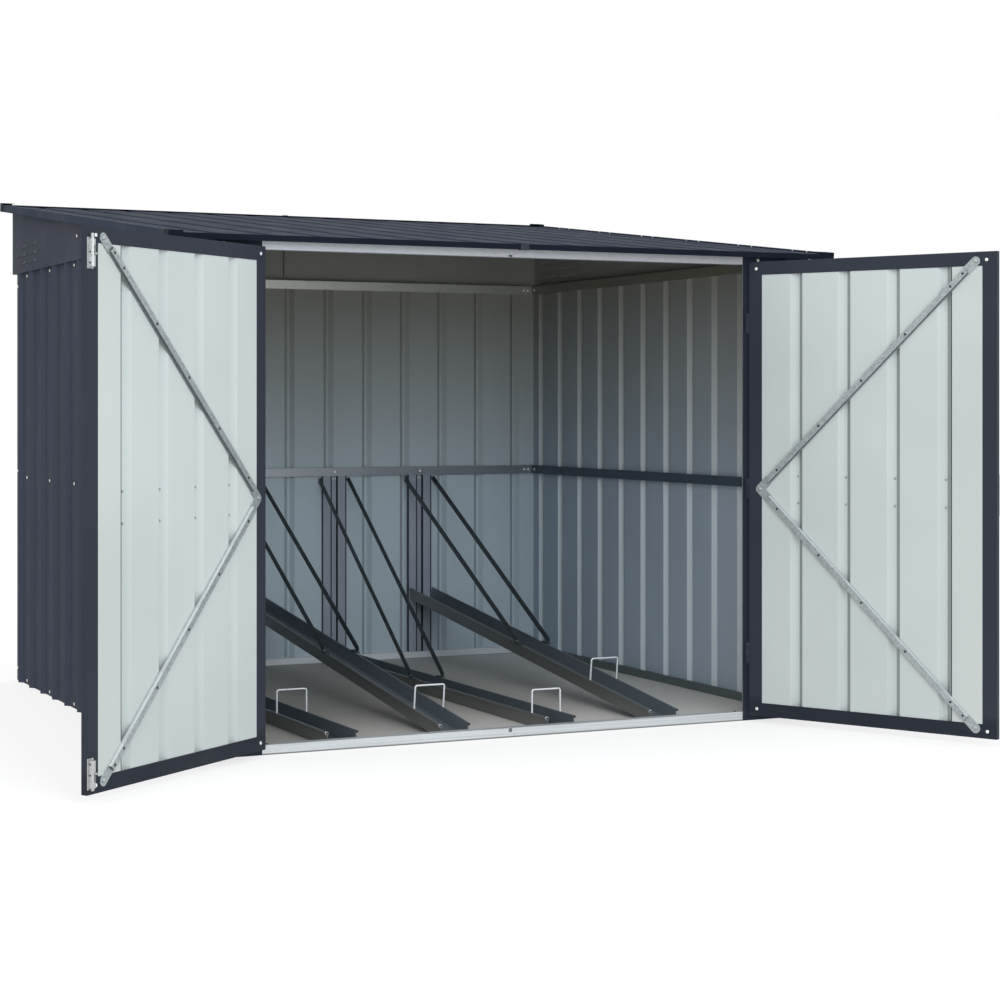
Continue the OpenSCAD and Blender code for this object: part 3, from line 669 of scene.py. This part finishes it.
def nut_model():
    """A hexagonal nut with the end of its bolt."""
    disc = start_disc("nut_model", 6, 3.2, 1.8)
    step_in(0.4, 0.3)
    step_in(1.0)
    step_up(1.4)
    step_in(0.4, 0.3)
    return finish_disc(disc)


def bolt_model():
    """A flanged bolt with a rounded head."""
    disc = start_disc("bolt_model", 14, 5.6, 0.8)
    step_in(1.2, 0.2)
    step_up(1.4)
    step_in(0.9, 0.8)
    step_in(1.2, 0.3)
    return finish_disc(disc)


def plug_model():
    """A round dark disc; in the ends of the rolled lips it is painted shade in their hollow."""
    disc = start_disc("plug_model", 12, 3.4, 1.0)
    step_in(0.6, 0.7)
    step_in(1.0, 0.3)
    return finish_disc(disc)


def ring_model():
    """The bright cut end of a rolled lip."""
    disc = start_disc("ring_model", 14, 4.4, 0.6)
    step_in(0.3, 0.2)
    step_in(0.5)
    step_up(-0.4)
    return finish_disc(disc)


def rivet_model():
    """A small domed rivet."""
    disc = start_disc("rivet_model", 10, 2.4, 0.5)
    step_in(0.6, 0.5)
    step_in(0.8, 0.2)
    return finish_disc(disc)


screw, washer, nut, bolt = screw_model(), washer_model(), nut_model(), bolt_model()
plug, ring, rivet = plug_model(), ring_model(), rivet_model()
models = (screw, washer, nut, bolt, plug, ring, rivet)
print("modelled", len(models), "kinds")

# %% [markdown]
# ## Putting fasteners in place
# A place is a point on a face and the direction that the face looks in. Each copy gets a mesh of its own,
# turned and moved inside the mesh so that its object stays at the origin. The copies on one body are joined
# into one piece, because they move as one.

# %% Place fasteners
rubber = rubbed_paint("washer_rubber", (24, 25, 28), (32, 33, 36), (52, 53, 56), 0.2)
nut_steel = rubbed_paint("nut_steel", (136, 142, 142), (150, 156, 156), (190, 194, 194), 0.35)
dark_steel = rubbed_paint("dark_steel", (46, 48, 50), (58, 60, 62), (104, 106, 106), 0.35)
ON_WASHER = 1.0


def fix(name, model, places, body, finish, lift=0.0):
    """Copies a fastener to its places, joins the copies and lets the piece ride on a body."""
    copies = []
    for point, direction in places:
        copy = model.copy()
        copy.data = model.data.copy()
        turn = Vector(direction).to_track_quat("Z", "Y").to_matrix().to_4x4()
        stand = Vector(point) + Vector(direction) * lift * MM
        copy.data.transform(Matrix.Translation(stand) @ turn)
        scene.collection.objects.link(copy)
        copies.append(copy)
    bpy.ops.object.select_all(action="DESELECT")
    for copy in copies:
        copy.select_set(True)
    piece = copies[0]
    bpy.context.view_layer.objects.active = piece
    bpy.ops.object.join()
    piece.name = piece.data.name = name
    piece.data.materials.clear()
    piece.data.materials.append(finish)
    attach(piece, body)
    print(name, "on", body, len(places), "places")
    return piece


def sheet_screws(name, places, body):
    """Screws with washers, as they hold the sheets."""
    fix(f"{name}_washers", washer, places, body, rubber)
    fix(f"{name}_screws", screw, places, body, plated_steel, lift=ON_WASHER)


print("ready to fix", [m.name for m in models])

# %% [markdown]
# ## Screws in the walls
# The wall sheets are screwed to the floor, mid and top rails behind them, on every second flat between the
# ribs, and the gables have screws at mid-height. From here on, places are given in millimetres.

# %% Wall screws
WALL_X, WALL_Y, GABLE_X = 915.0, 831.0, 928.2
FLOOR_ROW, MID_ROW, TOP_ROW = 13.0, 642.0, 1267.0
SIDE_FLATS = (-700.0, -420.0, -140.0, 140.0, 420.0, 700.0)
BACK_FLATS = (-630.0, -350.0, -70.0, 70.0, 350.0, 630.0)
GABLE_SCREWS = ((-430.0, 1313.0), (63.0, 1344.0))


def point_mm(x, y, z):
    """A point given in millimetres."""
    return Vector((x, y, z)) * MM


wall_places = []
for z in (FLOOR_ROW, MID_ROW, TOP_ROW):
    for flat in SIDE_FLATS:
        wall_places.append((point_mm(-WALL_X, flat, z), LEFT))
        wall_places.append((point_mm(WALL_X, flat, z), RIGHT))
    for flat in BACK_FLATS:
        wall_places.append((point_mm(flat, WALL_Y, z), BACK))
for y, z in GABLE_SCREWS:
    wall_places.append((point_mm(-GABLE_X, y, z), LEFT))
    wall_places.append((point_mm(GABLE_X, y, z), RIGHT))
sheet_screws("wall", wall_places, "shed")

# %% [markdown]
# ## Screws in the corners
# The corner angles are screwed at three heights, on both their sides. The front sheets beside the doorway
# have screws where the jamb stands behind them.

# %% Corner screws
ANGLE_FACE, ANGLE_IN = 1.2, 14.0
ANGLE_ROWS = (40.0, 660.0, 1240.0)
JAMB_X, LEFT_TOP_X = 749.0, 802.0
JAMB_TOP, JAMB_ROWS = 1266.0, (800.0, 420.0, 40.0)
corner_places = []
for side in (-1, 1):
    across = LEFT if side < 0 else RIGHT
    for z in ANGLE_ROWS:
        for end, facing in ((-1, FRONT), (1, BACK)):
            edge = end * (WALL_Y + ANGLE_FACE)
            corner_places.append((point_mm(side * (WALL_X - ANGLE_IN), edge, z), facing))
            inset = end * (WALL_Y - ANGLE_IN)
            corner_places.append((point_mm(side * (WALL_X + ANGLE_FACE), inset, z), across))
    top_x = LEFT_TOP_X if side < 0 else JAMB_X
    for x, z in [(top_x, JAMB_TOP)] + [(JAMB_X, row) for row in JAMB_ROWS]:
        corner_places.append((point_mm(side * x, -WALL_Y, z), FRONT))
sheet_screws("corner", corner_places, "shed")

# %% [markdown]
# ## Rivets in the roof's trims
# The side trims fold over the edge of the roof sheet and stand up as a low rim. Small rivets go through the
# inner face of the rim, in pairs at every second flat.

# %% Trim rivets
EAVE_Y, EAVE_Z = -889.0, 1283.69
RIM_X, RIM_MIDDLE = 941.0, 2.1
RIVET_PAIRS, PAIR_GAP = (-787.0, -507.0, -215.0, 59.0, 336.0, 616.0), 70.0
roof_up = outward["roof_sheet"]
rim_places = []
for first in RIVET_PAIRS:
    for y in (first, first + PAIR_GAP):
        rise = (y - EAVE_Y) * tan(ROOF_PITCH)
        for side, facing in ((-1, RIGHT), (1, LEFT)):
            spot = point_mm(side * RIM_X, y, EAVE_Z + rise)
            rim_places.append((spot + roof_up * RIM_MIDDLE * MM, facing))
fix("rim_rivets", rivet, rim_places, "shed", plated_steel)

# %% [markdown]
# ## Fasteners on the rails
# Rails are screwed together where they meet in the corners. Each upright has a screw on the mid rail and two
# rivets in its groove below.

# %% Rail fasteners
RAIL_X, RAIL_Y, GROOVE_Y = 898.8, 814.8, 824.8
CORNER_X, REAR_IN, FRONT_IN = (870.0, 886.0), 22.0, 20.0
GROOVE_ROW, GROOVE_HALF = 619.0, 4.0
rack_x = [(number - 1.5) * CHANNEL_PITCH for number in range(4)]
rail_places, groove_places = [], []
for z in (MID_ROW, TOP_ROW):
    for side, inward in ((-1, RIGHT), (1, LEFT)):
        for x in CORNER_X:
            rail_places.append((point_mm(side * x, RAIL_Y, z), FRONT))
        rail_places.append((point_mm(side * RAIL_X, RAIL_Y - REAR_IN, z), inward))
        rail_places.append((point_mm(side * RAIL_X, -RAIL_Y + FRONT_IN, z), inward))
for x in rack_x:
    rail_places.append((point_mm(x, RAIL_Y, MID_ROW), FRONT))
    for across in (-GROOVE_HALF, GROOVE_HALF):
        groove_places.append((point_mm(x + across, GROOVE_Y, GROOVE_ROW), FRONT))
fix("rail_screws", screw, rail_places, "shed", plated_steel)
fix("groove_rivets", rivet, groove_places, "shed", plated_steel)

# %% [markdown]
# ## Fasteners on the racks
# Each strut is bolted at its foot and its top. In front the channels' rolled lips end in a bright ring on
# the left, and a dark disc sits in the right lip's end and inside each ring: painted shade in the hollow of
# the roll. A screw goes through each channel's left side. Every second channel rises to the back, so its
# places are turned with it.

# %% Rack fasteners
RACK_FRONT_Y, RACK_LENGTH, RACK_FLOOR = -791.0, 1604.8, 1.7
RAISED = radians(7.3)
STRUT_FEET = (0.536, 0.493, 0.536, 0.487)
STRUT_OUT, FOOT_HEIGHT, STRUT_TOP = 54.0, 47.8, (822.3, 615.8)
LIP_HEIGHT, LIP_OUT = 34.7, 41.7
CHANNEL_SIDE, SCREW_IN, SCREW_UP = 38.5, 14, 20
SILL_X, SILL_Y, SILL_TOP = 684.0, -817.0, 24.5
strut_places, ring_places, shaded_lip_places, channel_places = [], [], [], []
for number, x in enumerate(rack_x):
    lift = RAISED if number % 2 else 0.0
    foot = RACK_LENGTH * STRUT_FEET[number]
    foot_y = RACK_FRONT_Y + foot * cos(lift) - FOOT_HEIGHT * sin(lift)
    foot_z = RACK_FLOOR + foot * sin(lift) + FOOT_HEIGHT * cos(lift)
    for y, z in ((foot_y, foot_z), STRUT_TOP):
        strut_places.append((point_mm(x - STRUT_OUT, y, z), LEFT))
        strut_places.append((point_mm(x + STRUT_OUT, y, z), RIGHT))
    along, rise = Vector((0, cos(lift), sin(lift))), Vector((0, -sin(lift), cos(lift)))
    mouth = point_mm(x, RACK_FRONT_Y, RACK_FLOOR)
    lip = mouth + rise * LIP_HEIGHT * MM
    ring_places.append((lip + LEFT * LIP_OUT * MM, -along))
    shaded_lip_places.append((lip + RIGHT * LIP_OUT * MM, -along))
    spot = mouth + (along * SCREW_IN + rise * SCREW_UP) * MM
    channel_places.append((spot + LEFT * CHANNEL_SIDE * MM, RIGHT))
fix("strut_bolts", rivet, strut_places, "shed", plated_steel)
# Dark discs in the lips' ends: painted shade in the hollow of each roll.
fix("lip_end_shades", plug, shaded_lip_places + ring_places, "shed", rubber)
fix("lip_rings", ring, ring_places, "shed", plated_steel)
fix("channel_screws", rivet, channel_places, "shed", plated_steel)
sill_places = [(point_mm(x, SILL_Y, SILL_TOP), UP) for x in (-SILL_X, SILL_X)]
fix("sill_screws", screw, sill_places, "shed", dark_steel)

# %% [markdown]
# ## Fasteners on the leaves
# Each leaf's frame has a screw in every corner. The band outside is held by two rows of screws through the
# grooves of the sheet, so their heads show outside and their nuts inside. Bright bolts hold the flat ends of
# the braces, dark discs sit in the holes along them, and the hinges have two screws in each plate.

# %% Leaf fasteners
GROOVES = (141.0, 281.0, 421.0, 561.0)
LEAF_MIDDLE, BAND_ROW = 638.75, 36.0
GROOVE_FLOOR, BAND_FACE, LEAF_FACE = 3.8, -0.5, 17.0
HINGE_CORNERS = ((21.0, 1238.0), (23.0, 40.0))
FREE_CORNERS = {"left_door": ((672.0, 1238.0), (672.0, 39.0)), "right_door": ((675.0, 1236.0), (677.0, 39.0))}
BRACE_ENDS = ((646.0, 1233.0), (646.0, 44.5), (33.0, LEAF_MIDDLE))
BRACE_HOLES = (44.0, 90.0, 262.0, 434.0, 606.0, 778.0)
BRACE_END_FACE, BRACE_HOLE_FACE = 18.5, 24.7
HINGE_HEIGHTS = (186.2, LEAF_MIDDLE, 1091.3)
PLATE_ALONG, PLATE_FACE, PLATE_HALF = 14.0, -1.0, 18.0
PLATE_ROWS = [height + rise for height in HINGE_HEIGHTS for rise in (-PLATE_HALF, PLATE_HALF)]


def leaf_places(leaf, spots, depth, facing):
    """Places on a leaf from pairs of along and height, in millimetres."""
    return [(leaf_point(leaf, along * MM, depth * MM, z * MM), facing) for along, z in spots]


for leaf in LEAVES:
    inward = leaf_inward(leaf)
    rows = [(along, LEAF_MIDDLE + rise) for along in GROOVES for rise in (-BAND_ROW, BAND_ROW)]
    fix(f"{leaf}_nuts", nut, leaf_places(leaf, rows, GROOVE_FLOOR, inward), leaf, nut_steel)
    heads = leaf_places(leaf, rows, BAND_FACE, -inward)
    fix(f"{leaf}_band_screws", screw, heads, leaf, plated_steel)
    corners = leaf_places(leaf, HINGE_CORNERS + FREE_CORNERS[leaf], LEAF_FACE, inward)
    fix(f"{leaf}_corner_screws", screw, corners, leaf, plated_steel)
    ends = leaf_places(leaf, BRACE_ENDS, BRACE_END_FACE, inward)
    fix(f"{leaf}_brace_bolts", bolt, ends, leaf, brace_zinc)
    holes = []
    foot = Vector(BRACE_ENDS[2])
    for top in map(Vector, BRACE_ENDS[:2]):
        holes += [top + (foot - top).normalized() * distance for distance in BRACE_HOLES]
    sunk = leaf_places(leaf, holes, BRACE_HOLE_FACE, inward)
    fix(f"{leaf}_brace_hole_discs", plug, sunk, leaf, rubber)
    plates = leaf_places(leaf, [(PLATE_ALONG, row) for row in PLATE_ROWS], PLATE_FACE, -inward)
    fix(f"{leaf}_hinge_screws", screw, plates, leaf, plated_steel)

# %% [markdown]
# ## Hinge brackets and bolt guides
# The fixed half of each hinge has two screws beside the doorway. The housings of the slide bolts are riveted
# on the free edge of the left leaf, so their rivets look away from its hinge. The models on the bench have
# then served their turn.

# %% Bracket screws and guide rivets
BRACKET_X, BRACKET_FACE = 729.0, 2.0
GUIDE_ALONG, GUIDE_DEPTH, GUIDE_ROWS = 699.0, 23.0, (1200.0, 1176.0, 88.5, 64.5)
bracket_y = -WALL_Y - BRACKET_FACE
bracket_places = [(point_mm(side * BRACKET_X, bracket_y, row), FRONT) for row in PLATE_ROWS for side in (-1, 1)]
fix("bracket_screws", screw, bracket_places, "shed", plated_steel)
guide_spots = [(GUIDE_ALONG, row) for row in GUIDE_ROWS]
guide_places = leaf_places("left_door", guide_spots, GUIDE_DEPTH, -leaf_to_hinge("left_door"))
fix("guide_rivets", rivet, guide_places, "left_door", dark_steel)
for model in models:
    bpy.data.objects.remove(model)
print("bench cleared")

# %% [markdown]
# ## The lap in each leaf
# The photo has a dark upright line beside the last groove of each leaf. It is read here as a lap: a second
# strip over the sheet, with a rolled front edge and a painted shadow line along that edge. The strip is a
# cube pressed flat on the bench, where X runs along the leaf, Y into the room and Z up. Its front edge is
# bevelled, a cut across it marks the width of the painted shadow, and what lies before the cut is dark.

# %% Lap strips
LAP_FROM, LAP_TO = 579.5, 663.5
LAP_LOW, LAP_HIGH = 57.0, 1220.5
LAP_FACE, LAP_THICK, LAP_ROLL, LAP_SHADOW_WIDTH = 15.8, 0.9, 0.6, 3.0
CREAM = (176, 181, 178), (185, 189, 186)
# The dark paint on the lap's front edge is a painted shadow line.
shadow_line_paint = rubbed_paint("lap_shadow_line", (34, 38, 40), (42, 46, 48), (70, 74, 76), 0.15)


def leaf_frame(leaf):
    """Turns the bench's axes into a leaf's: along, into the room, up."""
    origin = leaf_point(leaf, 0, 0, 0)
    axes = [leaf_point(leaf, 1, 0, 0) - origin, leaf_point(leaf, 0, 1, 0) - origin, UP]
    turn = Matrix([[axis[row] for axis in axes] for row in range(3)]).to_4x4()
    return Matrix.Translation(origin) @ turn


def lap_strip(leaf):
    """The strip on one leaf."""
    bpy.ops.object.select_all(action="DESELECT")
    middle = point_mm((LAP_FROM + LAP_TO) / 2, LAP_FACE + LAP_THICK / 2, (LAP_LOW + LAP_HIGH) / 2)
    size = point_mm(LAP_TO - LAP_FROM, LAP_THICK, LAP_HIGH - LAP_LOW)
    shadow_line_end = (LAP_FROM + LAP_SHADOW_WIDTH) * MM
    bpy.ops.mesh.primitive_cube_add(size=1, location=middle, scale=size)
    strip = bpy.context.active_object
    strip.name = strip.data.name = f"{leaf}_lap"
    bpy.ops.object.transform_apply(location=True, rotation=False, scale=True)
    cream = two_sided_sheet(f"{leaf}_lap_coat", -leaf_inward(leaf), SLATE, CREAM, LEAF_SHINE)
    strip.data.materials.append(cream)
    strip.data.materials.append(shadow_line_paint)
    bpy.ops.object.mode_set(mode="EDIT")
    bpy.ops.mesh.select_mode(type="EDGE")
    bpy.ops.mesh.select_all(action="DESELECT")
    mesh = bmesh.from_edit_mesh(strip.data)
    for edge in mesh.edges:
        a, b = (corner.co / MM for corner in edge.verts)
        upright = abs(a.z - b.z) > LAP_THICK * 2
        edge.select_set(upright and a.x < LAP_FROM + 1 and a.y > LAP_FACE + LAP_THICK / 2)
    bmesh.update_edit_mesh(strip.data)
    bpy.ops.mesh.bevel(offset=LAP_ROLL * MM, segments=2, affect="EDGES")
    bpy.ops.mesh.select_all(action="SELECT")
    bpy.ops.mesh.bisect(plane_co=(shadow_line_end, 0, 0), plane_no=(1, 0, 0))
    mesh = bmesh.from_edit_mesh(strip.data)
    # Faces before the cut take the painted shadow.
    for face in mesh.faces:
        face.material_index = 1 if face.calc_center_median().x < shadow_line_end else 0
    bmesh.update_edit_mesh(strip.data)
    bpy.ops.object.mode_set(mode="OBJECT")
    place = leaf_frame(leaf)
    strip.data.transform(place)
    if place.determinant() < 0:
        strip.data.flip_normals()
    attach(strip, leaf)
    return strip


print("laps:", [lap_strip(leaf).name for leaf in LEAVES])

# %% [markdown]
# ## The floor of the studio
# The photo's ground is plain white with no shadow. A pale floor far larger than the picture, with a slight
# grain, comes close when it also glows like a sheet of lit acrylic: the glow fills most of the shadow. It
# isn't part of the shelter.

# %% Studio floor
GLOW = 0.68
FLOOR_SIZE, FLOOR_DROP = 60, 0.5


def studio_floor():
    """A wide pale floor just under the shelter."""
    material, tree, shader, place = new_finish("studio_white")
    patches = grain(tree, place.outputs["Object"], 0.8)
    wire(tree, shader, {
        "Base Color": tint(tree, patches, (160, 160, 160), (164, 164, 164)), "Roughness": 0.9,
        "Specular IOR Level": 0.0, "Emission Color": (1.0, 1.0, 1.0, 1.0), "Emission Strength": GLOW})
    bpy.ops.object.select_all(action="DESELECT")
    bpy.ops.mesh.primitive_plane_add(size=FLOOR_SIZE, location=(0, 0, -FLOOR_DROP * MM))
    floor = bpy.context.active_object
    floor.name = "studio_floor"
    floor.data.materials.append(material)
    return floor


print("stage:", studio_floor().name)
